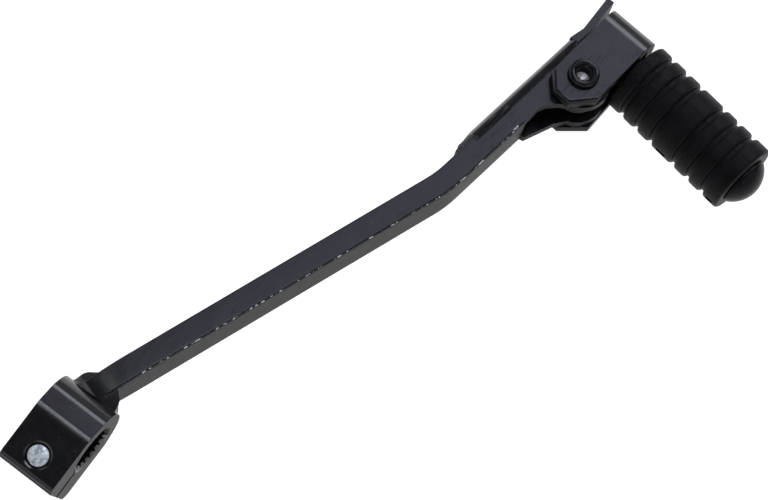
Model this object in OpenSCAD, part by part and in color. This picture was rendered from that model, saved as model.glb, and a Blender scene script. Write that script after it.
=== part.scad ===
// Folding foot-shift lever for a motorcycle gearbox.
// Millimetres. Origin: centre of the splined bore. +X runs towards the pedal end,
// -Y is outboard (the foot peg points that way), +Z is the side that faces up here.

/* [Clamp boss] */
// Thickness of the clamp block, measured across the slit
boss_thick = 20; // [18:0.5:24]
// Width of the block along the shaft
boss_width = 15; // [12:0.5:20]
// Distance from the bore centre to the free end of the block
boss_free = 13.6; // [13:0.1:18]
// Outer radius of the rounded end, about the bore
boss_round = 10.1; // [9.6:0.1:13]
// Slope of the flat bevels that lead into the rounded end, degrees
boss_bevel = 28; // [20:1:40]
// Corner radius at the free end
boss_corner = 2.2; // [1:0.1:4]
// Turn of the block about the bore, against the arm, degrees
boss_turn = 19.5; // [0:0.5:40]
// Radius over the tips of the bore's teeth
spline_tip_r = 5.5; // [5.2:0.05:6]
// Radius at the roots of the bore's teeth
spline_root_r = 6.1; // [5.8:0.05:6.8]
// Number of teeth in the bore
spline_teeth = 20; // [16:1:26]
// Radius of the chamfer at each mouth of the bore
mouth_r = 6.6; // [6.2:0.05:7.5]
// Width of the slit that lets the block close on the shaft
slit_w = 1.4; // [1:0.1:2.5]

/* [Pinch bolt] */
// Distance from the bore centre to the bolt
bolt_back = 8.05; // [8:0.05:8.6]
// Radius of the bolt over its thread
bolt_r = 2.95; // [2.4:0.05:3]
// Radius of the bolt's waist, where it passes the shaft
bolt_waist_r = 2.55; // [2.2:0.05:2.6]
// Width of the bolt head across flats
bolt_flats = 10; // [8:0.5:12]
// Height of the bolt head
bolt_head_h = 4; // [3:0.5:6]
// Thickness of the split washer
lock_t = 1.6; // [1:0.1:2]

/* [Arm] */
// Width of the bar, seen from above
bar_w = 6; // [5:0.25:8]
// Depth of the bar
bar_d = 11; // [10:0.25:11]
// How far inboard of the bore centre the bar's line passes
root_offset = 4; // [0:0.5:5]
// Outboard slope of the first run of the bar, degrees
arm_angle = 18.5; // [10:0.5:25]
// Length of the first run, from the bore to the bend
arm_run = 110; // [90:1:140]
// How far the bend brings the bar back, degrees
arm_bend = 11.7; // [5:0.1:16]
// Radius of the bend
bend_r = 30; // [20:1:40]
// Length from the bend to the pivot
pivot_run = 44.2; // [42:0.1:52]
// How far outboard of the bar's line the pivot sits
pivot_out = 4.7; // [4:0.1:5.5]
// Distance from the end of the bar to the pivot
bar_stop = 18.4; // [16:0.2:22]

/* [Arm head] */
// Thickness of the folded plate
plate_t = 2.2; // [1.8:0.1:2.6]
// Depth over both ears
head_d = 10.6; // [10.4:0.1:10.8]
// Radius of the round ears about the pivot
ear_r = 7.4; // [6.6:0.1:8]
// Outside radius of the two folds
fold_r = 3.6; // [2.8:0.1:4.4]
// How far the plate laps back beside the bar, from the pivot
lap_back = 36; // [30:1:40]
// Distance from the pivot to the tip of the stop tab
tab_reach = 22.6; // [21.4:0.1:25]
// Outward lean of the stop tab, degrees
tab_lean = 6; // [4:0.5:12]

/* [Clevis] */
// Thickness of the strap
strap_t = 3; // [2:0.1:4]
// Play between each ear and the strap
face_gap = 0.3; // [0.3:0.05:0.6]
// Distance from the pivot to the strap's outboard edge
strap_out = 6.8; // [6:0.1:8]
// Distance from the pivot to the strap's inboard edge
strap_in = 6.1; // [5:0.1:6.2]
// Distance from the pivot to the strap's open end
strap_near = 8.3; // [8:0.1:9.5]
// Distance from the pivot to the outside of the closed end
strap_far = 20.9; // [20:0.1:21.2]
// Outside radius of the strap's two bends
strap_bend = 4.5; // [4:0.1:6]
// Turn of the clevis against the arm head, degrees
strap_turn = 2.2; // [0:0.1:3]

/* [Pivot] */
// Radius of the rivet's shank
rivet_r = 3; // [2.5:0.05:3.1]
// Radial play of the rivet in the ears
rivet_play = 0.08; // [0.03:0.01:0.1]
// Outside radius of the sleeve between the ears
sleeve_r = 4.2; // [3.9:0.1:4.4]
// Thickness of the spring wire
wire_d = 1.2; // [0.8:0.1:1.3]

/* [Foot peg] */
// Distance from the pivot to the peg's axis
peg_ahead = 13.9; // [13.7:0.1:14.3]
// Lean of the peg back towards the boss, degrees
peg_lean = 4.5; // [0:0.5:6]
// Radius of the peg's pin
pin_r = 4; // [3.5:0.05:4.2]
// Outside radius of the rubber
rubber_r = 9.5; // [9:0.05:10]
// Depth of the grooves between ribs
groove_depth = 0.95; // [0.5:0.05:1.5]
// Width of each groove
groove_w = 1.15; // [0.8:0.05:1.5]
// Width of the plain ribs
rib_w = 3.75; // [3.2:0.05:4.2]
// Width of the wide rib in the middle
wide_rib_w = 6.6; // [5:0.1:8]
// Width of the last rib
last_rib_w = 4.7; // [3.5:0.1:6]
// Radius of the domed end of the pin
dome_r = 6.5; // [5.5:0.1:7.5]
// Height of the domed end
dome_h = 4.2; // [3:0.1:5.5]

/* [Hidden] */
$fn = 64;
eps = 0.01;
boss_h = boss_thick / 2;
bevel_p = 2.2 * sin(boss_bevel) + boss_h * cos(boss_bevel);
spot_depth = 0.8;
waist_top = 3;
bend_len = bend_r * tan(arm_bend / 2);
head_angle = arm_angle - arm_bend;
bend_x = arm_run * cos(arm_angle);
bend_y = root_offset - arm_run * sin(arm_angle);
pivot_x = bend_x + pivot_run * cos(head_angle) - pivot_out * sin(head_angle);
pivot_y = bend_y - pivot_run * sin(head_angle) - pivot_out * cos(head_angle);
bar_in = pivot_out + bar_w / 2;
web_out = bar_in + plate_t;
ear_in = head_d / 2 - plate_t;
gap_half = head_d / 2 + face_gap;
strap_half = gap_half + strap_t;
inner_bend = strap_bend - strap_t;
block_half = pin_r - 0.1;
block_out = 5.2;
block_in = 6.6;
rubber_from = strap_out + 1.1;
rubber_len = 5 * rib_w + wide_rib_w + last_rib_w + 6 * groove_w;
rubber_to = rubber_from + rubber_len;
coil_r = sleeve_r + 0.35 + wire_d / 2;

// Frames. In each, x runs towards the pedal end and y is inboard.
module in_boss() { rotate([0, -boss_turn, 0]) children(); }
module in_bolt() { in_boss() translate([-bolt_back, 0, 0]) children(); }
module in_arm() { translate([0, root_offset, 0]) rotate([0, 0, -arm_angle]) children(); }
module in_head() { translate([pivot_x, pivot_y, 0]) rotate([0, 0, -head_angle]) children(); }
module in_strap() { in_head() rotate([0, 0, strap_turn]) children(); }
// The peg's own frame: z runs out along the pin.
module in_peg() {
  in_strap() translate([peg_ahead, 0, 0]) rotate([0, 0, -peg_lean]) rotate([90, 0, 0]) children();
}
// Stands a flat outline up, so that its y becomes z, and gives it a width along y.
module across(y0, y1) {
  translate([0, y1, 0]) rotate([90, 0, 0]) linear_extrude(y1 - y0) children();
}

// Side outline of the clamp block, without its holes.
module boss_outline() {
  intersection() {
    union() {
      circle(boss_round);
      translate([-boss_free + boss_corner, -boss_h]) square([boss_free - boss_corner, boss_thick]);
      translate([-boss_free, -boss_h + boss_corner])
        square([boss_free, boss_thick - 2 * boss_corner]);
      for (s = [-1, 1])
        translate([-boss_free + boss_corner, s * (boss_h - boss_corner)]) circle(boss_corner);
    }
    bevel_clip();
  }
}
// The two bevels, as a wedge whose faces meet the flats just past the bore.
module bevel_clip() {
  tip = bevel_p / sin(boss_bevel);
  back = tip - (boss_h + 10) / tan(boss_bevel);
  polygon([[tip, 0], [back, boss_h + 10], [-30, boss_h + 10], [-30, -boss_h - 10],
      [back, -boss_h - 10]]);
}

module clamp_boss() {
  color([0.05, 0.05, 0.06]) in_boss() difference() {
    across(-boss_width / 2, boss_width / 2) boss_outline();
    rotate([90, 0, 0]) cylinder(r = spline_tip_r, h = boss_width + 2, center = true);
    for (i = [0 : spline_teeth - 1])
      rotate([0, i * 360 / spline_teeth, 0]) across(-boss_width, boss_width)
        polygon([[spline_tip_r - 0.2, -0.55], [spline_root_r, -0.12], [spline_root_r, 0.12],
            [spline_tip_r - 0.2, 0.55]]);
    for (s = [-1, 1])
      rotate([s * 90, 0, 0]) translate([0, 0, boss_width / 2 - 0.9])
        cylinder(r1 = spline_tip_r - 0.1, r2 = mouth_r + 0.11, h = 1);
    translate([-boss_free - 1, -boss_width, -slit_w / 2])
      cube([boss_free + 1 - spline_tip_r + 0.5, boss_width * 2, slit_w]);
    translate([-bolt_back, 0, 0]) {
      cylinder(r = bolt_r + 0.04, h = boss_thick);
      translate([0, 0, -boss_thick]) cylinder(r = bolt_r + 0.15, h = boss_thick);
      translate([0, 0, boss_h - 0.35]) cylinder(r1 = bolt_r, r2 = bolt_r + 0.45, h = 0.36);
      translate([0, 0, -boss_h - 2]) cylinder(r = bolt_flats / 2 + 0.3, h = 2 + spot_depth);
    }
  }
}

module pinch_bolt() {
  seat = -boss_h + spot_depth - lock_t;
  color([0.75, 0.78, 0.8]) in_bolt() {
    translate([0, 0, seat - bolt_head_h]) intersection() {
      cylinder(r = bolt_flats / 2 / cos(30), h = bolt_head_h, $fn = 6);
      union() {
        cylinder(r1 = bolt_flats / 2 - 0.1, r2 = bolt_flats / 2 + 0.9, h = 0.6);
        translate([0, 0, 0.6]) cylinder(r = bolt_flats / 2 + 0.9, h = bolt_head_h);
      }
    }
    translate([0, 0, seat - eps]) cylinder(r = bolt_waist_r, h = boss_h - 1 - seat + eps);
    translate([0, 0, waist_top]) cylinder(r1 = bolt_waist_r, r2 = bolt_r, h = 0.4);
    translate([0, 0, waist_top + 0.4]) cylinder(r = bolt_r, h = boss_h - 1.3 - waist_top);
    translate([0, 0, boss_h - 0.9]) cylinder(r1 = bolt_r, r2 = bolt_r - 0.45, h = 0.5);
  }
}

module lock_washer() {
  color([0.7, 0.72, 0.74]) in_bolt() translate([0, 0, -boss_h + spot_depth - lock_t])
    difference() {
      cylinder(r = bolt_flats / 2 - 0.1, h = lock_t);
      translate([0, 0, -1]) cylinder(r = bolt_r + 0.15, h = lock_t + 2);
      rotate([0, 20, 60]) translate([0, -0.5, -2]) cube([8, 1, lock_t + 4]);
    }
}

// Plan of the bar, from deep in the block to just short of the pivot. The bend is a
// hair wider than the straights, which run half a millimetre into it.
module bar_plan() {
  straight = arm_run - bend_len;
  side = bar_w / 2;
  translate([4, -side]) square([straight - 3.5, bar_w]);
  translate([straight, bend_r]) {
    intersection() {
      difference() {
        circle(bend_r + side + eps);
        circle(bend_r - side - eps);
      }
      polygon([[0, 0], [0, -2 * bend_r], [2 * bend_r * tan(arm_bend), -2 * bend_r]]);
    }
    rotate(arm_bend) translate([-0.5, -bend_r - side])
      square([pivot_run - bend_len - bar_stop + 0.5, bar_w]);
  }
}
module bar_run() {
  in_arm() translate([0, 0, -bar_d / 2]) linear_extrude(bar_d) bar_plan();
}

module arm_bar() {
  color([0.06, 0.06, 0.07]) difference() {
    bar_run();
    rotate([90, 0, 0]) cylinder(r = boss_round, h = 3 * boss_width, center = true);
  }
}

// A lumpy fillet where the bar meets the rounded end of the block.
module root_weld() {
  color([0.05, 0.05, 0.05]) difference() {
    intersection() {
      union() {
        in_arm() for (z = [-4.3, 4.3])
          translate([10.9, -4.2, z]) rotate([-90, 0, 0]) cylinder(r = 2.5, h = 7.6);
        in_arm() translate([12.1, -3.6, -4.6]) cylinder(r = 2.5, h = 9.2);
        in_arm() translate([10.2, 3.2, -4.4]) cylinder(r = 1.7, h = 8.8);
        in_arm() translate([12.4, -3.4, 4]) sphere(2.9);
        in_arm() translate([10.8, 2.9, 4]) sphere(2.2);
        in_arm() translate([12.6, -3.3, -4.2]) sphere(2.9);
        in_arm() translate([11, 2.8, -4.4]) sphere(2.4);
      }
      in_boss() translate([6.7, -boss_width / 2 + 0.6, -9.4])
        cube([20, boss_width - 1.2, 17.6]);
    }
    bar_run();
    in_boss() across(-boss_width, boss_width) boss_outline();
  }
}

// The whole folded plate: a channel, open on its outboard side.
module folded_plate() {
  h = head_d / 2;
  rotate([90, 0, 90]) translate([0, 0, -lap_back]) linear_extrude(lap_back + ear_r)
    difference() {
      union() {
        translate([-12, -h]) square([12 + web_out - fold_r, 2 * h]);
        translate([-12, -h + fold_r]) square([12 + web_out, 2 * (h - fold_r)]);
        for (s = [-1, 1]) translate([web_out - fold_r, s * (h - fold_r)]) circle(fold_r);
      }
      translate([-13, -ear_in]) square([13 + bar_in - fold_r + plate_t, 2 * ear_in]);
      translate([-13, -h + fold_r]) square([13 + bar_in, 2 * (h - fold_r)]);
      for (s = [-1, 1])
        translate([web_out - fold_r, s * (h - fold_r)]) circle(fold_r - plate_t);
    }
}
// Plan of the plate beside the bar, with its sloped start.
module lap_plan() {
  polygon([[-lap_back, bar_in + 0.02], [-lap_back, bar_in + 0.7], [-lap_back + 8, web_out + 0.05],
      [ear_r, web_out + 0.05], [ear_r, bar_in + 0.02]]);
}
module upper_plan() {
  lap_plan();
  circle(ear_r);
  polygon([[-bar_stop + 0.15, bar_in + 0.1], [-bar_stop + 0.15, 1.8], [-13.2, 2], [-11, 1.3],
      [-8.6, -0.6], [-7, -2.6], [0, 0], [ear_r, 0], [ear_r, bar_in + 0.1]]);
}
module lower_plan() {
  lap_plan();
  circle(ear_r);
  polygon([[-bar_stop + 0.15, bar_in + 0.1], [-bar_stop + 0.15, 2.6], [-bar_stop + 0.9, 0.8],
      [-9.6, -1.6], [-6.4, -3.6], [0, 0], [ear_r, 0], [ear_r, bar_in + 0.1]]);
}
module head_shell() {
  in_head() {
    intersection() {
      folded_plate();
      union() {
        linear_extrude(20) upper_plan();
        translate([0, 0, -20]) linear_extrude(20) lower_plan();
      }
    }
    translate([ear_r - eps, bar_in, -4]) cube([12 - ear_r, plate_t, 8]);
    translate([12 - 0.3, bar_in, -4]) rotate([0, 0, tab_lean])
      cube([(tab_reach - 12 + 0.3) / cos(tab_lean), plate_t, 8]);
  }
}

module arm_head() {
  color([0.06, 0.06, 0.07]) difference() {
    head_shell();
    in_head() cylinder(r = rivet_r + rivet_play, h = 40, center = true);
  }
}

// Beads that join the folded plate to the bar.
module head_weld() {
  color([0.05, 0.05, 0.05]) difference() {
    in_head() {
      for (s = [-1, 1]) {
        translate([-38.4, bar_in + 0.5, s * (head_d / 2 - 0.45)]) rotate([0, 90, 0])
          cylinder(r = 0.95, h = 11.4);
        translate([-38.4, bar_in + 0.5, s * (head_d / 2 - 0.45)]) sphere(0.95);
      }
      translate([-lap_back - 0.5, bar_in + 0.3, -4.85]) cylinder(r = 0.95, h = 9.7);
    }
    bar_run();
    head_shell();
  }
}

module pivot_sleeve() {
  color([0.6, 0.6, 0.6]) in_head() difference() {
    cylinder(r = sleeve_r, h = 2 * ear_in - 0.1, center = true);
    cylinder(r = rivet_r + rivet_play, h = 20, center = true);
  }
}

// Torsion spring: three turns about the sleeve, one leg back along the web and one
// leg forward to the root of the peg.
function spring_path() = let (turns = 3, n = 20, rise = wire_d + 0.1, z0 = -turns * rise / 2)
  concat(
    [[-14, coil_r, z0]],
    [for (i = [0 : turns * n]) let (a = 90 - i * 360 / n)
      [coil_r * cos(a), coil_r * sin(a), z0 + i * rise / n]],
    [[9, coil_r, z0 + turns * rise]]);
function unit(v) = v / norm(v);
module swept(path, r, sides) {
  last = len(path) - 1;
  tan_at = [for (i = [0 : last]) unit(path[min(i + 1, last)] - path[max(i - 1, 0)])];
  points = [for (i = [0 : last]) let (t = tan_at[i], s = unit(cross([0, 0, 1], t)), u = cross(t, s))
    for (k = [0 : sides - 1]) let (a = k * 360 / sides) path[i] + r * (cos(a) * s + sin(a) * u)];
  walls = [for (i = [0 : last - 1]) for (k = [0 : sides - 1]) let (m = (k + 1) % sides)
    for (f = [[i * sides + k, (i + 1) * sides + k, (i + 1) * sides + m],
        [i * sides + k, (i + 1) * sides + m, i * sides + m]]) f];
  caps = [[for (k = [0 : sides - 1]) k], [for (k = [sides - 1 : -1 : 0]) last * sides + k]];
  polyhedron(points, concat(walls, caps), convexity = 8);
}
module return_spring() {
  color([0.45, 0.45, 0.47]) in_head() swept(spring_path(), wire_d / 2, 8);
}

// Plan of the strap: cut corners at the open end.
module strap_plan() {
  polygon([[-strap_near, 2.5], [-strap_near, -2.3], [-strap_near + 5.4, -strap_out],
      [strap_far + 1, -strap_out], [strap_far + 1, strap_in], [-strap_near + 3.8, strap_in]]);
}
module strap_section(half, far, r) {
  translate([-strap_near - 1, -half]) square([strap_near + 1 + far - r, 2 * half]);
  translate([-strap_near - 1, -half + r]) square([strap_near + 1 + far, 2 * (half - r)]);
  for (s = [-1, 1]) translate([far - r, s * (half - r)]) circle(r);
}
module clevis_strap() {
  color([0.07, 0.07, 0.08]) in_strap() difference() {
    intersection() {
      across(-strap_out - 1, strap_in + 1) difference() {
        strap_section(strap_half, strap_far, strap_bend);
        translate([-2, 0]) strap_section(gap_half, strap_far - strap_t + 2, inner_bend);
      }
      translate([0, 0, -20]) linear_extrude(40) strap_plan();
    }
    cylinder(r = rivet_r + 0.02, h = 40, center = true);
  }
}

// Tubular rivet: rolled rim above, low domed head below.
module pivot_rivet() {
  rim = 0.86;
  color([0.12, 0.12, 0.12]) in_head() difference() {
    union() {
      translate([0, 0, -strap_half - eps]) cylinder(r = rivet_r, h = 2 * strap_half + rim + eps);
      translate([0, 0, strap_half + rim])
        rotate_extrude() translate([rivet_r + 0.04, 0]) circle(rim);
      translate([0, 0, strap_half]) cylinder(r = rivet_r + rim - 0.1, h = rim);
      translate([0, 0, -strap_half]) rotate_extrude() intersection() {
        translate([0, 6.2]) circle(8.4);
        translate([0, -3]) square([5.2, 3]);
      }
    }
    translate([0, 0, strap_half - 2.4]) cylinder(r = rivet_r + 0.04 - rim, h = 10);
    translate([0, 0, strap_half - 3.3]) cylinder(r1 = 0.4, r2 = rivet_r + 0.04 - rim, h = 0.91);
    translate([0, 0, strap_half + rim]) cylinder(r = rivet_r + 0.04 - rim + 0.02, h = 3);
  }
}

module peg_root() {
  in_strap() intersection() {
    translate([peg_ahead - 0.25 - block_half, -block_out, -gap_half + 0.05])
      cube([2 * block_half, block_out + block_in, 2 * gap_half - 0.1]);
    across(-block_out - 1, block_in + 1)
      strap_section(gap_half - 0.05, strap_far - strap_t - 0.1, inner_bend);
  }
}
module peg_pin() {
  cap_r = (dome_r * dome_r + (dome_h - 0.7) * (dome_h - 0.7)) / (2 * (dome_h - 0.7));
  color([0.08, 0.08, 0.08]) {
    peg_root();
    in_peg() {
      translate([0, 0, 3]) cylinder(r = pin_r, h = rubber_to + 0.4 - 3);
      translate([0, 0, rubber_to + 0.05]) rotate_extrude() {
        square([dome_r, 0.7]);
        intersection() {
          translate([0, dome_h - cap_r]) circle(cap_r);
          square([dome_r, dome_h]);
        }
      }
    }
  }
}

// Beads that hold the pin's root between the two sides of the strap.
module peg_weld() {
  bead_from = peg_ahead - block_half + 0.35;
  bead_to = min(peg_ahead + block_half - 0.85, strap_far - strap_bend - 0.2);
  color([0.05, 0.05, 0.05]) difference() {
    in_strap() for (s = [-1, 1])
      translate([bead_from, -block_out, s * (gap_half - 0.35)])
        rotate([0, 90, 0]) cylinder(r = 1.25, h = bead_to - bead_from);
    peg_root();
    in_peg() cylinder(r = pin_r, h = 20);
    in_strap() for (s = [-1, 1])
      translate([0, -20, s > 0 ? gap_half : -gap_half - 10]) cube([40, 40, 10]);
  }
}

module rib(from, w) {
  translate([0, from]) {
    translate([pin_r + 0.04, 0.5]) square([rubber_r - pin_r - 0.04, w - 1]);
    translate([pin_r + 0.04, 0]) square([rubber_r - pin_r - 0.54, w]);
    for (y = [0.5, w - 0.5]) translate([rubber_r - 0.5, y]) circle(0.5);
  }
}
module peg_rubber() {
  step = rib_w + groove_w;
  fifth = 3 * step + wide_rib_w + groove_w;
  color([0.09, 0.09, 0.095]) in_peg() translate([0, 0, rubber_from]) rotate_extrude() {
    translate([pin_r + 0.04, 0]) square([rubber_r - groove_depth - pin_r - 0.04, rubber_len]);
    for (i = [0 : 2]) rib(i * step, rib_w);
    rib(3 * step, wide_rib_w);
    for (i = [0 : 1]) rib(fifth + i * step, rib_w);
    rib(fifth + 2 * step, last_rib_w);
  }
}

clamp_boss();
pinch_bolt();
lock_washer();
root_weld();
arm_bar();
head_weld();
arm_head();
pivot_sleeve();
return_spring();
clevis_strap();
pivot_rivet();
peg_pin();
peg_weld();
peg_rubber();
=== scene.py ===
"""A black folding foot-shift lever, lying on a pale table."""
from math import acos, cos, degrees, pi, radians, sin

import bmesh
import bpy
from mathutils import Matrix, Vector, noise
from mathutils.bvhtree import BVHTree


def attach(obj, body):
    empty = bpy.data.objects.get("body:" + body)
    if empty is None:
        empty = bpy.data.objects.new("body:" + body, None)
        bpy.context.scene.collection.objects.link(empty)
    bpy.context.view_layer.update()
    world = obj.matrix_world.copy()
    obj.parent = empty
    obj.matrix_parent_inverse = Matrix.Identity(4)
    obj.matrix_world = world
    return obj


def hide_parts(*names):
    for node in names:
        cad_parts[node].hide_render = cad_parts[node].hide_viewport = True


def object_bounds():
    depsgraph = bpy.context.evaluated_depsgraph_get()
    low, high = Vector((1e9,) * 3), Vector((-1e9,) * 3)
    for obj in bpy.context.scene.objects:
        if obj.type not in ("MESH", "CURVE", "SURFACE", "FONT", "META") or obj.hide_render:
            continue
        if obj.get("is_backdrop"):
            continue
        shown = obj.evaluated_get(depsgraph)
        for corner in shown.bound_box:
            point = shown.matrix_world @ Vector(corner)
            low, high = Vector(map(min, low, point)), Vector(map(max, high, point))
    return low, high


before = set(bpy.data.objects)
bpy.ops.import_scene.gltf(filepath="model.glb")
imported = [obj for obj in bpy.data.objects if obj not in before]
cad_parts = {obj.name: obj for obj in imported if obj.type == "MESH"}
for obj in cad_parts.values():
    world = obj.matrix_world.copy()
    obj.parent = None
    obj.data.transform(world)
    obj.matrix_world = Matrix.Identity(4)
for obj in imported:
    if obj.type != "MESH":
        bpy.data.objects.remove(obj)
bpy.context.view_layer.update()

MM = 0.001

# Sizes that the lever's own frames hang on, in millimetres and degrees.
BOSS_TURN = 19.5
BOSS_HALF = 10.0
BOSS_WIDTH = 15.0
BOLT_BACK = 8.05
ROOT_OFFSET = 4.0
ARM_ANGLE = 18.5
HEAD_ANGLE = 6.8
PIVOT = (147.648, -40.804, 0.0)
STRAP_TURN = 2.2
STRAP_HALF = 8.6
STRAP_FAR = 20.9
STRAP_BEND = 4.5
PEG_AHEAD = 13.9
PEG_LEAN = 4.5
RUBBER_FROM = 7.9
RUBBER_R = 9.5
PIN_R = 4.0

# The bar and the folded plate: half depths, the plate's place in the head's frame, its fold.
BAR_HALF = 5.5
HEAD_HALF = 5.3
BAR_IN = 7.7
FOLD_R = 3.6
FOLD_Y = 6.3
FOLD_Z = 1.7
LAP_FROM = -30.0
TAB_FROM = 11.5
TAB_ROOT = 11.7
TAB_LEAN = 6.0

# The bar's neck at the block's weld, and how far the strap's bend opens beyond its plan.
NECK_FROM = 9.0
NECK_LENGTH = 12.0
NECK_DRAW = 0.42
BEND_LONGER = 1.4
BEND_DEEPER = 1.3
BEND_FURTHER = 0.4
EAR_FURTHER = 0.9


def shift(x, y, z):
    return Matrix.Translation((x * MM, y * MM, z * MM))


def turn(degrees, axis):
    return Matrix.Rotation(radians(degrees), 4, axis)


IN_BOSS = turn(-BOSS_TURN, "Y")
IN_BOLT = IN_BOSS @ shift(-BOLT_BACK, 0, 0)
IN_ARM = shift(0, ROOT_OFFSET, 0) @ turn(-ARM_ANGLE, "Z")
IN_HEAD = shift(*PIVOT) @ turn(-HEAD_ANGLE, "Z")
IN_STRAP = IN_HEAD @ turn(STRAP_TURN, "Z")
IN_PEG = IN_STRAP @ shift(PEG_AHEAD, 0, 0) @ turn(-PEG_LEAN, "Z") @ turn(90, "X")
BOSS_BACK, ARM_BACK = IN_BOSS.inverted(), IN_ARM.inverted()
HEAD_BACK, STRAP_BACK = IN_HEAD.inverted(), IN_STRAP.inverted()


# ---------------------------------------------------------------- shader maths

class Wire:
    """The output of a shader node, with Python's arithmetic."""

    def __init__(self, finish, socket):
        self.finish = finish
        self.socket = socket

    def maths(self, operation, first, second=None):
        parts = {0: first} if second is None else {0: first, 1: second}
        return self.finish.node("ShaderNodeMath", {"operation": operation}, parts)

    def __add__(self, other):
        return self.maths("ADD", self, other)

    def __sub__(self, other):
        return self.maths("SUBTRACT", self, other)

    def __rsub__(self, other):
        return self.maths("SUBTRACT", other, self)

    def __mul__(self, other):
        return self.maths("MULTIPLY", self, other)

    __radd__ = __add__
    __rmul__ = __mul__

    def over(self, start, end):
        """0 below start, 1 above end, smooth between them."""
        return self.finish.node(
            "ShaderNodeMapRange", {"interpolation_type": "SMOOTHSTEP"},
            {"Value": self, "From Min": start, "From Max": end})


class Finish:
    """One material: a Principled shader and the nodes that feed it."""

    def __init__(self, name, **constants):
        self.material = bpy.data.materials.new(name)
        self.material.use_nodes = True
        self.tree = self.material.node_tree
        self.shader = self.tree.nodes["Principled BSDF"]
        for key, value in constants.items():
            self.shader.inputs[key.replace("_", " ")].default_value = value
        self.place = self.node("ShaderNodeTexCoord", {}, {}, "Object")

    def node(self, kind, settings, parts, out=0):
        """Adds a node: its settings first, then the values or wires of its sockets."""
        made = self.tree.nodes.new(kind)
        for key, value in settings.items():
            setattr(made, key, value)
        for key, value in parts.items():
            if isinstance(value, Wire):
                self.tree.links.new(value.socket, made.inputs[key])
            else:
                made.inputs[key].default_value = value
        return Wire(self, made.outputs[out])

    def feed(self, **wires):
        for key, wire in wires.items():
            self.tree.links.new(wire.socket, self.shader.inputs[key.replace("_", " ")])

    def cloud(self, per_metre, detail=3.0, rough=0.5, where=None, warp=0.0):
        return self.node("ShaderNodeTexNoise", {}, {
            "Vector": where or self.place, "Scale": per_metre, "Detail": detail,
            "Roughness": rough, "Distortion": warp})

    def laid(self, degrees, stretch):
        """The place, turned about Z and stretched, for marks that run one way."""
        return self.node("ShaderNodeMapping", {}, {
            "Vector": self.place, "Rotation": (0.0, 0.0, radians(degrees)), "Scale": stretch})

    def blend(self, amount, dark, light):
        return self.node("ShaderNodeMix", {"data_type": "RGBA"},
                         {0: amount, 6: dark, 7: light}, 2)

    def worn(self):
        """1 along the softened edges of a piece."""
        return self.node("ShaderNodeAttribute", {"attribute_name": "edge"}, {}, "Fac")

    def relief(self, height, depth, strength=1.0, under=None):
        parts = {"Height": height, "Distance": depth, "Strength": strength}
        if under is not None:
            parts["Normal"] = under
        return self.node("ShaderNodeBump", {}, parts)


def grey(value, blue=0.0, alpha=1.0):
    return (value, value, value + blue, alpha)


BLACK = grey(0.0026, 0.0009)
SOOT = grey(0.0065, 0.002)
CHIP = grey(0.62, 0.02)


def enamel(name, chips=0.5, gloss=0.2, scratch_angle=0.0, scratches=0.3, shine=0.5):
    """Black stoved enamel: orange peel, fine scratches, dust, and chips along edges."""
    coat = Finish(name, IOR=1.5, Specular_IOR_Level=shine)
    peel = coat.cloud(900, 2)
    wave = coat.cloud(140, 2)
    dull = coat.cloud(260, 5, 0.6)
    lines = coat.cloud(150, 2, 0.5, coat.laid(scratch_angle, (1, 34, 34)), 0.3)
    scratch = (lines.over(0.665, 0.70)) * coat.cloud(55, 1).over(0.5, 0.62) * scratches
    dust = coat.cloud(2600, 1).over(0.765, 0.79)
    edge = coat.worn()
    bare_from = 0.68 - 0.12 * chips
    chip = edge.over(0.45, 0.8) * coat.cloud(620, 4, 0.7).over(bare_from, bare_from + 0.05)
    shade = coat.blend(dull.over(0.35, 0.75), BLACK, SOOT)
    shade = coat.blend(dust * 0.25, shade, grey(0.22))
    shade = coat.blend(scratch, shade, grey(0.004, 0.001))
    shade = coat.blend(chip, shade, CHIP)
    coat.feed(
        Base_Color=shade,
        Roughness=dull * 0.12 + (gloss - 0.05) + scratch * 0.4 + chip * 0.3,
        Normal=coat.relief(peel * 0.25 + wave * 1.6, 0.0001, 0.25,
                           coat.relief(scratch * 3.0 + chip * -1.0, 0.00005, 0.7)))
    return coat.material


def weld_skin(name):
    """Enamel over a weld: rough, with small painted glints, bright specks mixed into the base
    colour.
    """
    coat = Finish(name, IOR=1.5)
    lumps = coat.cloud(1500, 3, 0.6)
    # painted highlight: small bright glint specks, mixed into the base colour as grey
    painted_glint = coat.cloud(2300, 2).over(0.70, 0.74)
    dull = coat.cloud(500, 4)
    coat.feed(
        Base_Color=coat.blend(painted_glint * 0.5, coat.blend(dull, BLACK, SOOT), grey(0.5)),
        Roughness=dull * 0.25 + 0.2,
        Normal=coat.relief(lumps, 0.0004, 0.5))
    return coat.material


def zinc(name):
    """Bright zinc plate with blotches, fine grain and blue-grey marks."""
    plate = Finish(name, Metallic=0.55)
    blotch = plate.cloud(420, 4, 0.6)
    marks = plate.cloud(420, 3, 0.7, None, 0.6).over(0.50, 0.62)
    fine = plate.cloud(3200, 2)
    edge = plate.worn()
    colour = plate.blend(blotch.over(0.3, 0.7), (0.62, 0.68, 0.74, 1), (0.86, 0.92, 0.97, 1))
    colour = plate.blend(marks * 0.75, colour, (0.16, 0.22, 0.30, 1))
    colour = plate.blend(edge * 0.4, colour, (0.25, 0.27, 0.30, 1))
    plate.feed(
        Base_Color=colour,
        Roughness=blotch * 0.25 + 0.22 + marks * 0.2,
        Normal=plate.relief(fine + marks * -1.0, 0.00006, 0.5))
    return plate.material


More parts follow.
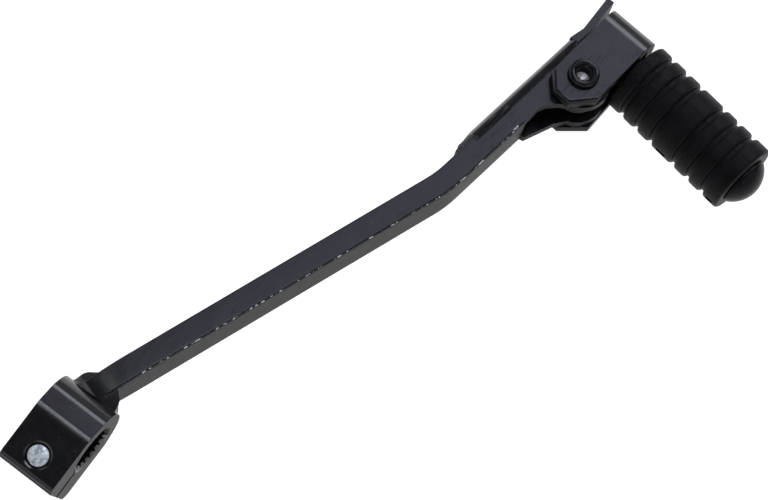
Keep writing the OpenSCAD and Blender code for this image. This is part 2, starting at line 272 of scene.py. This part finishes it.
def spring_steel(name):
    """Drawn wire and tube, coloured near black, with a little rust."""
    steel = Finish(name, Specular_IOR_Level=0.2)
    dark_tone = steel.cloud(700, 4, 0.6)
    rust = steel.cloud(350, 5, 0.7).over(0.58, 0.72)
    colour = steel.blend(dark_tone, grey(0.006, 0.001), grey(0.03, 0.001))
    steel.feed(
        Base_Color=steel.blend(rust * 0.5, colour, (0.05, 0.02, 0.01, 1)),
        Roughness=dark_tone * 0.2 + 0.25 + rust * 0.3,
        Normal=steel.relief(steel.cloud(4200, 2) + rust, 0.00003, 0.5))
    return steel.material


def drilled_end(name):
    """The bright drilled end inside the rivet, with a little rust at one side."""
    steel = Finish(name, Metallic=0.8)
    dark_tone = steel.cloud(900, 4, 0.6)
    rust = steel.cloud(260, 4, 0.65).over(0.47, 0.58)
    colour = steel.blend(dark_tone.over(0.3, 0.7), grey(0.45, 0.02), grey(0.85, 0.02))
    steel.feed(
        Base_Color=steel.blend(rust * 0.8, colour, (0.42, 0.13, 0.03, 1)),
        Roughness=dark_tone * 0.2 + 0.22 + rust * 0.3,
        Normal=steel.relief(steel.cloud(3800, 2), 0.00003, 0.5))
    return steel.material


def rubber(name):
    """Moulded black rubber: fine grain, bloom, scuffs and a parting line."""
    skin = Finish(name, IOR=1.45, Specular_IOR_Level=0.085)
    grain = skin.cloud(5200, 2, 0.6)
    bloom = skin.cloud(160, 4, 0.6)
    scuff = skin.cloud(210, 2, 0.5, skin.laid(25, (1, 16, 16))).over(0.66, 0.70) \
        * skin.cloud(60, 1).over(0.52, 0.62)
    pits = skin.cloud(2100, 1).over(0.72, 0.76)
    edge = skin.worn()
    parting = skin.node("ShaderNodeAttribute", {"attribute_name": "parting"}, {}, "Fac")
    line = parting.over(0.72, 0.9)
    colour = skin.blend(bloom.over(0.3, 0.75), grey(0.0028, 0.0004), grey(0.0062, 0.001))
    colour = skin.blend(edge * 0.35, colour, grey(0.013, 0.001))
    colour = skin.blend(scuff * 0.5 + pits * 0.25, colour, grey(0.07, 0.002))
    skin.feed(
        Base_Color=colour,
        Roughness=bloom * 0.2 + 0.36 + scuff * 0.15,
        Normal=skin.relief(grain * 0.5 + line * 3.0 - pits, 0.00006, 0.7))
    return skin.material


# ---------------------------------------------------------------- shaping

def copied(node, near=0.003):
    """A merged copy of a CAD node, with its flat faces whole again."""
    bm = bmesh.new()
    bm.from_mesh(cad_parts[node].data)
    bmesh.ops.remove_doubles(bm, verts=bm.verts, dist=near * MM)
    bmesh.ops.dissolve_limit(bm, angle_limit=radians(0.6), verts=bm.verts, edges=bm.edges)
    return bm


def seen_from(back, x, y, z):
    """A place in millimetres, as a piece's own frame has it."""
    return back @ Vector((x * MM, y * MM, z * MM)) / MM


def sharp(bm, least=30, where=None):
    """The edges that turn by more than least degrees, where the place allows."""
    bm.normal_update()
    found = []
    for edge in bm.edges:
        if len(edge.link_faces) == 2 and edge.calc_face_angle(0) > radians(least):
            if where is None or where(*((edge.verts[0].co + edge.verts[1].co) / 2 / MM)):
                found.append(edge)
    return found


def soften(bm, edges, width, steps=3, worn=1.0):
    """Rounds edges, and marks the middle of those that border a top as worn."""
    layer = bm.loops.layers.float.get("edge") or bm.loops.layers.float.new("edge")
    made = bmesh.ops.bevel(bm, geom=edges, offset=width * MM, offset_type="OFFSET",
                           segments=steps, profile=0.5, affect="EDGES", material=-1,
                           clamp_overlap=True)
    rounded = set(made["faces"])
    bm.normal_update()
    for face in rounded:
        for loop in face.loops:
            lean = degrees(acos(min(1.0, abs(loop.vert.normal.z))))
            loop[layer] = worn * max(0.0, 1.0 - abs(lean - 42) / 30)


def upright(bm, least=0.35):
    """Gives the upright faces the second finish: thinner, duller enamel."""
    bm.normal_update()
    for face in bm.faces:
        if abs(face.normal.z) < least:
            face.material_index = 1


def turned(profile, steps=64):
    """Spins an outline of (radius, height) about the Z axis."""
    bm = bmesh.new()
    verts = [bm.verts.new((r * MM, 0, z * MM)) for r, z in profile]
    edges = [bm.edges.new(pair) for pair in zip(verts, verts[1:])]
    bmesh.ops.spin(bm, geom=verts + edges, cent=(0, 0, 0), axis=(0, 0, 1), dvec=(0, 0, 0),
                   angle=2 * pi, steps=steps, use_merge=True, use_normal_flip=False,
                   use_duplicate=False)
    bmesh.ops.remove_doubles(bm, verts=bm.verts, dist=0.0000005)
    bmesh.ops.recalc_face_normals(bm, faces=bm.faces)
    return bm


def lumpy(node, cell, lump, per_mm, seed, beside=(), melt=2, flush=None):
    """A weld: the CAD bead remeshed finely, run into what is beside it, and made uneven."""
    rough = bpy.data.meshes.new(node + "_rough")
    bm = copied(node)
    for near, point, away in beside:
        part = copied(near)
        bmesh.ops.bisect_plane(part, geom=part.verts[:] + part.edges[:] + part.faces[:],
                               plane_co=Vector(point) * MM, plane_no=away, clear_outer=True)
        bmesh.ops.holes_fill(part, edges=part.edges)
        part.to_mesh(rough)
        part.free()
        bm.from_mesh(rough)
    bm.to_mesh(rough)
    bm.free()
    holder = bpy.data.objects.new(node + "_rough", rough)
    bpy.context.scene.collection.objects.link(holder)
    remesh = holder.modifiers.new("remesh", "REMESH")
    remesh.mode, remesh.voxel_size = "VOXEL", cell * MM
    done = holder.evaluated_get(bpy.context.evaluated_depsgraph_get())
    bm = bmesh.new()
    bm.from_mesh(done.to_mesh())
    done.to_mesh_clear()
    bpy.data.objects.remove(holder)
    bpy.data.meshes.remove(rough)
    for _ in range(melt):
        bmesh.ops.smooth_vert(bm, verts=bm.verts, factor=0.5, use_axis_x=True,
                              use_axis_y=True, use_axis_z=True)
    bm.normal_update()
    bead = BVHTree.FromBMesh(copied(node))
    for vert in bm.verts:
        at = vert.co / MM * per_mm + Vector((seed, 0, 0))
        wave = noise.noise(at) + 0.4 * noise.noise(at * 2.7) + 0.25
        away = bead.find_nearest(vert.co)[3] / MM
        fade = max(0.0, 1.0 - away / 1.0) if beside else 1.0
        vert.co += vert.normal * (wave * lump * fade - 0.22 * (1.0 - fade)) * MM
    if flush is not None:
        for _ in range(3):
            for vert in bm.verts:
                flush(vert)
            bmesh.ops.smooth_vert(bm, verts=bm.verts, factor=0.5, use_axis_x=True,
                                  use_axis_y=True, use_axis_z=True)
    bmesh.ops.recalc_face_normals(bm, faces=bm.faces)
    return bm


def under_bar_top(vert):
    """Keeps the root weld below the bar's own top and bottom."""
    at = ARM_BACK @ vert.co / MM
    limit = BAR_HALF * neck(max(at.x, NECK_FROM)) - 0.15 - max(0.0, abs(at.y) - 3) * 0.35
    limit += max(0.0, 10.5 - at.x) * 0.9
    if abs(vert.co.z) / MM > limit:
        vert.co.z = limit * MM * (1 if vert.co.z > 0 else -1)


def flush_with_plate(vert):
    """Keeps the head's bead as low and as round as the folded plate, and short."""
    at = HEAD_BACK @ vert.co / MM
    past = min(max(at.y - FOLD_Y, 0.0), FOLD_R - 0.05)
    low = 0.0 if at.x < LAP_FROM + 0.5 else 0.25
    rolled = FOLD_Z + 0.05 + (FOLD_R ** 2 - past ** 2) ** 0.5
    limit = min(HEAD_HALF + 0.03, rolled) - low
    if abs(at.z) > limit:
        at.z = limit if at.z > 0 else -limit
    over = at.y - (BAR_IN - 0.25 + max(0.0, at.x + 36.6) * 0.75)
    if at.x < -32.5 and over > 0:
        at.y -= over
    vert.co = IN_HEAD @ (at * MM)


def finished(name, bm, materials, body, node, place=None, crease=38):
    """Makes the piece, in place, and lets it ride and stand for its CAD node."""
    if place is not None:
        bmesh.ops.transform(bm, matrix=place, verts=bm.verts)
    bm.normal_update()
    for face in bm.faces:
        face.smooth = True
    for edge in bm.edges:
        edge.smooth = len(edge.link_faces) == 2 and edge.calc_face_angle(0) < radians(crease)
    mesh = bpy.data.meshes.new(name)
    bm.to_mesh(mesh)
    bm.free()
    for material in materials:
        mesh.materials.append(material)
    piece = bpy.data.objects.new(name, mesh)
    bpy.context.scene.collection.objects.link(piece)
    even = piece.modifiers.new("even shading", "WEIGHTED_NORMAL")
    even.keep_sharp, even.weight = True, 80
    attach(piece, body)
    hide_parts(node)
    return piece


# ---------------------------------------------------------------- the lever

def clamp_block():
    """The splined block: a rounded crown and sides, crisp about the bore, slit and bolt."""
    bm = copied("clamp_boss")

    def outline(x, y, z):
        at = seen_from(BOSS_BACK, x, y, z)
        on_side = abs(abs(at.y) - BOSS_WIDTH / 2) < 0.05
        radius = (at.x ** 2 + at.z ** 2) ** 0.5
        near_bore = radius < 7.2 or (at.x < 0 and abs(at.z) < 1.0)
        near_bolt = abs(at.x + BOLT_BACK) < 6 and abs(at.y) < 6 and abs(at.z) > 8
        return on_side and not near_bore and not near_bolt

    def crown(x, y, z):
        at = seen_from(BOSS_BACK, x, y, z)
        return at.x > 2 and abs(at.y) < BOSS_WIDTH / 2 - 1 and (at.x ** 2 + at.z ** 2) ** 0.5 > 9

    soften(bm, sharp(bm, 14, crown), 1.3, 4, 0.0)
    soften(bm, sharp(bm, 40, outline), 0.9, 4)
    upright(bm, 0.25)
    return finished("clamp_block", bm, [enamel("block_enamel", 0.3, 0.18, 10, 0.3),
                                        enamel("block_side_enamel", 0.5, 0.4, 10, 0.3, 0.055)],
                    "lever", "clamp_boss")


def bolt():
    """The pinch bolt: hex head, waist, and a chamfered end whose chamfer and threaded side are
    painted dark, as shade inside the bolt's hole.
    """
    seat = -BOSS_HALF + 0.8 - 1.6
    top = BOSS_HALF - 0.4
    bm = turned([(0, top), (2.35, top), (2.5, top - 0.08), (2.95, top - 0.55),
                 (2.95, 3.4), (2.55, 3.0), (2.55, seat), (0, seat)])
    head = bmesh.ops.create_circle(bm, cap_ends=True, segments=6, radius=5 / cos(pi / 6) * MM,
                                   matrix=shift(0, 0, seat - 4))
    face = next(f for v in head["verts"] for f in v.link_faces)
    raised = bmesh.ops.extrude_face_region(bm, geom=[face])
    bmesh.ops.translate(bm, vec=(0, 0, 4 * MM),
                        verts=[v for v in raised["geom"] if isinstance(v, bmesh.types.BMVert)])
    bmesh.ops.recalc_face_normals(bm, faces=bm.faces)
    soften(bm, sharp(bm, 35, lambda x, y, z: z < seat + 0.5 and x * x + y * y > 9), 0.4)
    # The chamfer and threaded side take the near-black steel: painted shade, the dark ring in the
    # hole about the bolt's bright end.
    for face in bm.faces:
        at = face.calc_center_median() / MM
        if at.z > 2 and at.xy.length > 2.45:
            face.material_index = 1
    return finished("bolt", bm, [zinc("bolt_zinc"), spring_steel("bolt_end_painted_shade")],
                    "lever", "pinch_bolt", IN_BOLT)


def washer():
    bm = copied("lock_washer")
    soften(bm, sharp(bm, 50), 0.15, 2)
    return finished("washer", bm, [zinc("washer_zinc")], "lever", "lock_washer")


def neck(along):
    """How far the bar is drawn down towards the block's weld, as a share of its depth."""
    gone = min(max(along - NECK_FROM, 0), NECK_LENGTH) / NECK_LENGTH
    return 1 - NECK_DRAW * (1 - gone) ** 2


def bar():
    """The bar, drawn down a little where it runs into the block's weld."""
    bm = copied("arm_bar", 0.03)
    for along in (9.5, 10, 11, 12, 13, 14, 15, 16, 17, 18, 19.5, 21):
        bmesh.ops.bisect_plane(bm, geom=bm.verts[:] + bm.edges[:] + bm.faces[:],
                               plane_co=IN_ARM @ Vector((along * MM, 0, 0)),
                               plane_no=IN_ARM.to_3x3() @ Vector((1, 0, 0)))
    for vert in bm.verts:
        along = (ARM_BACK @ vert.co).x / MM
        vert.co.z *= neck(along)
        if along > 120:
            vert.co.z *= HEAD_HALF / BAR_HALF
    bmesh.ops.bisect_plane(bm, geom=bm.verts[:] + bm.edges[:] + bm.faces[:],
                           plane_co=IN_HEAD @ Vector((LAP_FROM * MM, 0, 0)),
                           plane_no=IN_HEAD.to_3x3() @ Vector((1, 0, 0)))

    def lapped(x, y, z):
        at = seen_from(HEAD_BACK, x, y, z)
        return LAP_FROM < at.x < -18.6 and at.y > 7

    soften(bm, sharp(bm, 50, lapped), 1.4, 5, 0.0)
    far = max((HEAD_BACK @ vert.co).x for vert in bm.verts)
    for vert in bm.verts:
        at = HEAD_BACK @ vert.co / MM
        if at.x * MM > far - 0.3 * MM:
            vert.co += IN_HEAD.to_3x3() @ Vector((0.3 * MM, 0, 0))
        if at.x > -37 and abs(at.y - BAR_IN) < 0.1:
            vert.co += IN_HEAD.to_3x3() @ Vector((0, 0.06 * MM, 0))
        if at.x > LAP_FROM + 0.5 and at.y > FOLD_Y and abs(at.z) > 3:
            rolled = FOLD_Z + max(0.0, FOLD_R ** 2 - (at.y - FOLD_Y) ** 2) ** 0.5
            vert.co.z = rolled * MM * (1 if at.z > 0 else -1)
    def long_edge(outboard):
        def where(x, y, z):
            across = seen_from(ARM_BACK, x, y, z).y
            bent = (x - 100) * 0.2 if x > 100 else 0
            return 10.5 < x < 125 and abs(z) > 3 and not lapped(x, y, z) \
                and (across - bent < 0) == outboard
        return where

    soften(bm, sharp(bm, 50, long_edge(True)), 0.75, 5)
    soften(bm, sharp(bm, 50, long_edge(False)), 0.4, 4, 0.35)
    upright(bm, 0.25)
    return finished("bar", bm, [enamel("bar_enamel", 1.1, 0.2, ARM_ANGLE, 0.4),
                                enamel("bar_side_enamel", 1.1, 0.42, ARM_ANGLE, 0.4, 0.075)],
                    "lever", "arm_bar")


def head_plate():
    """The folded plate: flush where it meets the bar, its stop tab thinner than its web."""
    bm = copied("arm_head", 0.03)

    def tab(x, y, z):
        at = seen_from(HEAD_BACK, x, y, z)
        return at.x > TAB_FROM and at.y > 2

    def seam(x, y, z):
        at = seen_from(HEAD_BACK, x, y, z)
        return (at.x < -17.5 and abs(at.y - BAR_IN) < 0.5) or (at.x < -18 and at.y < BAR_IN)

    lean = (shift(TAB_ROOT, BAR_IN, 0) @ turn(TAB_LEAN, "Z")).inverted() @ HEAD_BACK
    for vert in bm.verts:
        at = lean @ vert.co / MM
        if at.x > -0.8 and at.y > 1.5:
            at.y = 1.55 + at.x * 0.04
            vert.co = lean.inverted() @ (at * MM)
    soften(bm, sharp(bm, 50, lambda x, y, z: not (tab(x, y, z) or seam(x, y, z))), 0.4, 3, 0.6)
    soften(bm, sharp(bm, 50, tab), 0.45, 3, 0.3)
    upright(bm)
    return finished("head_plate", bm, [enamel("head_enamel", 0.3, 0.2, HEAD_ANGLE, 0.3),
                                       enamel("head_side_enamel", 0.3, 0.42, 0, 0.2, 0.07)],
                    "lever", "arm_head")


def clevis():
    """The peg's U-shaped strap, with a wide bend, round open ends and a long lower ear."""
    bm = copied("clevis_strap", 0.03)
    for vert in bm.verts:
        at = STRAP_BACK @ vert.co / MM
        out = Vector((at.x - (STRAP_FAR - STRAP_BEND), abs(at.z) - (STRAP_HALF - STRAP_BEND)))
        if out.x > -0.02 and out.y > -0.02 and abs(out.length - STRAP_BEND) < 0.06:
            at.x = STRAP_FAR + BEND_FURTHER - (STRAP_FAR - at.x) * BEND_LONGER
            high = STRAP_HALF - (STRAP_HALF - abs(at.z)) * BEND_DEEPER
            at.z = high if at.z > 0 else -high
            vert.co = IN_STRAP @ (at * MM)
        elif at.z < -5 and at.x < 9 and at.y < -4:
            at.y -= EAR_FURTHER
            vert.co = IN_STRAP @ (at * MM)

    def open_end(x, y, z):
        at = seen_from(STRAP_BACK, x, y, z)
        return at.x < 4 and abs(at.z) > STRAP_HALF - 0.1 and at.x ** 2 + at.y ** 2 > 16

    soften(bm, sharp(bm, 50, open_end), 0.95, 4)
    soften(bm, sharp(bm, 50), 0.6)
    upright(bm)
    return finished("clevis", bm, [enamel("clevis_enamel", 0.2, 0.2, 25, 1.0),
                                   enamel("clevis_side_enamel", 0.3, 0.42, 0, 0.2, 0.07)],
                    "peg", "clevis_strap")


def arc(x, z, radius, start, end, count):
    """Points on an arc of an outline, from one angle to another."""
    angles = [radians(start + (end - start) * i / (count - 1)) for i in range(count)]
    return [(x + radius * cos(a), z + radius * sin(a)) for a in angles]


def rivet():
    """Tubular rivet: low domed head below, shank, and a rolled rim about a drilled end."""
    dome = arc(0, -STRAP_HALF + 6.2, 8.4, -90, -51.8, 7)
    rim = arc(2.96, STRAP_HALF + 0.77, 0.94, -55, 180, 14)
    bm = turned([(0, dome[0][1])] + dome[1:] + [(5.2, -STRAP_HALF), (3.0, -STRAP_HALF)]
                + [(3.0, STRAP_HALF)] + rim + [(2.02, 6.6), (1.9, 6.1), (0.5, 5.35), (0, 5.3)], 72)
    bm.normal_update()
    for face in bm.faces:
        middle = face.calc_center_median() / MM
        if (middle.x ** 2 + middle.y ** 2) ** 0.5 < 1.85 and 5 < middle.z < 6.4:
            face.material_index = 1
    return finished("rivet", bm, [enamel("rivet_enamel", 0.1, 0.16, 0, 0.2, 0.3),
                                  drilled_end("rivet_bore")], "peg", "pivot_rivet", IN_HEAD)


RIBS = [3.75, 3.75, 3.75, 6.6, 3.75, 3.75, 4.7]
GROOVE_W = 1.15
GROOVE_R = RUBBER_R - 0.95


def rubber_sleeve():
    """Seven ribs with rounded edges, a parting line on top, and two small slots."""
    outline, slots, start = [(PIN_R + 0.04, 0.0)], [], 0.0
    for i, width in enumerate(RIBS):
        outline.append((RUBBER_R, start))
        if i in (3, 6):
            slots.append((start + 0.28 * width, start + 0.74 * width))
            outline += [(RUBBER_R, z) for z in slots[-1]]
        outline.append((RUBBER_R, start + width))
        start += width + GROOVE_W
        if i < len(RIBS) - 1:
            outline += [(GROOVE_R, start - GROOVE_W), (GROOVE_R, start)]
    outline += [(PIN_R + 0.04, start - GROOVE_W), outline[0]]
    bm = turned(outline, 96)
    soften(bm, sharp(bm, 60, lambda x, y, z: (x * x + y * y) > (RUBBER_R - 0.2) ** 2), 0.8, 4)
    for low, high in slots:
        cut = []
        for face in bm.faces:
            at = face.calc_center_median() / MM
            if low < at.z < high and at.xy.length > RUBBER_R - 0.1:
                if at.xy.angle_signed(Vector((cos(radians(194)), sin(radians(194))))) ** 2 < 0.0075:
                    cut.append(face)
        bmesh.ops.inset_region(bm, faces=cut, thickness=0.1 * MM, depth=-0.9 * MM,
                               use_even_offset=True)
    layer = bm.verts.layers.float.new("parting")
    for vert in bm.verts:
        if vert.co.y > 0 and abs(vert.co.x) < 0.05 * MM:
            vert[layer] = 1.0
    return finished("rubber_sleeve", bm, [rubber("sleeve_rubber")], "peg", "peg_rubber",
                    IN_PEG @ shift(0, 0, RUBBER_FROM), 50)


def plain(node, name, material, body, width=0.2):
    """A piece that keeps its CAD shape, with its edges just broken."""
    bm = copied(node)
    soften(bm, sharp(bm, 50), width, 2)
    return finished(name, bm, [material], body, node)


clamp_block()
bolt()
washer()
bar()
head_plate()
clevis()
rivet()
rubber_sleeve()
finished("root_bead", lumpy("root_weld", 0.3, 0.35, 0.5, 3.0, (
    ("arm_bar", (22, -3, 0), (1, 0, 0)),
    ("clamp_boss", (7.5, 0, 0), (-1, 0, 0))), 16, under_bar_top),
         [weld_skin("root_bead_skin")],
         "lever", "root_weld", None, 80)
finished("head_bead", lumpy("head_weld", 0.25, 0.1, 0.5, 9.0, (
    ("arm_bar", (98, 0, 0), (-1, 0, 0)),
    ("arm_head", (134, 0, 0), (1, 0, 0))), 10, flush_with_plate), [weld_skin("head_bead_skin")],
         "lever", "head_weld", None, 80)
finished("peg_bead", lumpy("peg_weld", 0.2, 0.1, 0.8, 5.0), [weld_skin("peg_bead_skin")],
         "peg", "peg_weld", None, 80)
# Sleeve and spring are coloured near black, as dark as the gap between the ears where they sit.
plain("pivot_sleeve", "sleeve", spring_steel("sleeve_steel"), "lever")
plain("return_spring", "spring", spring_steel("spring_wire"), "lever", 0.05)
plain("peg_pin", "pin", enamel("pin_enamel", 0.1, 0.3, 0, 0.3, 0.09), "peg")


# ---------------------------------------------------------------- table, light, camera

def table():
    """A pale table, lit a little from within so that shadows on it stay faint."""
    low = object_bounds()[0][2]
    bm = bmesh.new()
    bmesh.ops.create_grid(bm, x_segments=1, y_segments=1, size=4.0,
                          matrix=Matrix.Translation((0.08, -0.03, low - 0.0004)))
    mesh = bpy.data.meshes.new("table")
    bm.to_mesh(mesh)
    bm.free()
    paper = Finish("table_paper", Roughness=0.9, Emission_Color=(1, 1, 1, 1),
                   Emission_Strength=0.92, Specular_IOR_Level=0.0)
    paper.feed(Base_Color=paper.blend(paper.cloud(6, 2), grey(0.30), grey(0.36)))
    mesh.materials.append(paper.material)
    top = bpy.data.objects.new("table", mesh)
    bpy.context.scene.collection.objects.link(top)
    top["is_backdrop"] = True


RIGHT = Vector((0.5897, -0.7957, 0.1382)).normalized()
UP = Vector((0.707, 0.5913, 0.3878)).normalized()
TOWARDS = RIGHT.cross(UP).normalized()
UP = TOWARDS.cross(RIGHT).normalized()


def softbox(name, tilt, side, size, power, colour=(1, 1, 1), distance=1.3, mirrored=True):
    """A soft panel, tilt degrees from overhead towards the pedal end, side to inboard."""
    middle = Vector((0.08, -0.03, 0.0))
    away = Vector((sin(radians(tilt)), side, cos(radians(tilt)))).normalized()
    lamp = bpy.data.lights.new(name, "AREA")
    lamp.shape = "RECTANGLE"
    lamp.size, lamp.size_y = size
    lamp.energy, lamp.color = power, colour
    holder = bpy.data.objects.new(name, lamp)
    holder.location = middle + away * distance
    holder.rotation_mode = "QUATERNION"
    holder.rotation_quaternion = (-away).to_track_quat("-Z", "Y")
    holder.visible_glossy = mirrored
    bpy.context.scene.collection.objects.link(holder)


def studio():
    scene = bpy.context.scene
    scene.view_settings.view_transform = "Standard"
    scene.world = scene.world or bpy.data.worlds.new("studio")
    scene.world.use_nodes = True
    sky = scene.world.node_tree.nodes["Background"]
    sky.inputs["Color"].default_value = (0.95, 0.97, 1.0, 1)
    sky.inputs["Strength"].default_value = 0.14
    softbox("window", 26, 0.0, (0.57, 1.06), 2.35, (0.76, 0.76, 1.0))
    softbox("near_strip", 3, 0.05, (0.8, 0.08), 2.2, (0.90, 0.93, 1.0))
    softbox("far_strip", 50, 0.0, (0.9, 0.42), 5.2, (0.90, 0.92, 1.0))
    softbox("far_wall", 75, 0.0, (1.4, 0.5), 0.7, (0.98, 0.98, 1.0))
    softbox("inboard_wall", 0, 2.4, (1.8, 0.8), 3.0, (0.93, 0.95, 1.0), 1.6)
    softbox("outboard_wall", 0, -2.4, (1.8, 0.8), 3.0, (0.93, 0.95, 1.0), 1.6)
    softbox("shaft_wall", -68, 0.0, (1.8, 0.8), 3.0, (0.93, 0.95, 1.0), 1.6)
    softbox("ceiling", 10, 0.0, (3.0, 3.0), 21, (1.0, 0.99, 0.97), 1.8, False)


def camera():
    lens = bpy.data.cameras.new("camera")
    lens.type = "PERSP"
    lens.sensor_fit = "HORIZONTAL"
    lens.sensor_width = 36.0
    lens.lens = 159.375
    lens.clip_start, lens.clip_end = 0.01, 20.0
    holder = bpy.data.objects.new("camera", lens)
    stand = Matrix((RIGHT, UP, TOWARDS)).transposed().to_4x4()
    stand.translation = Vector((-0.2313, -0.1351, 0.7339))
    holder.matrix_world = stand
    bpy.context.scene.collection.objects.link(holder)
    bpy.context.scene.camera = holder


table()
studio()
camera()
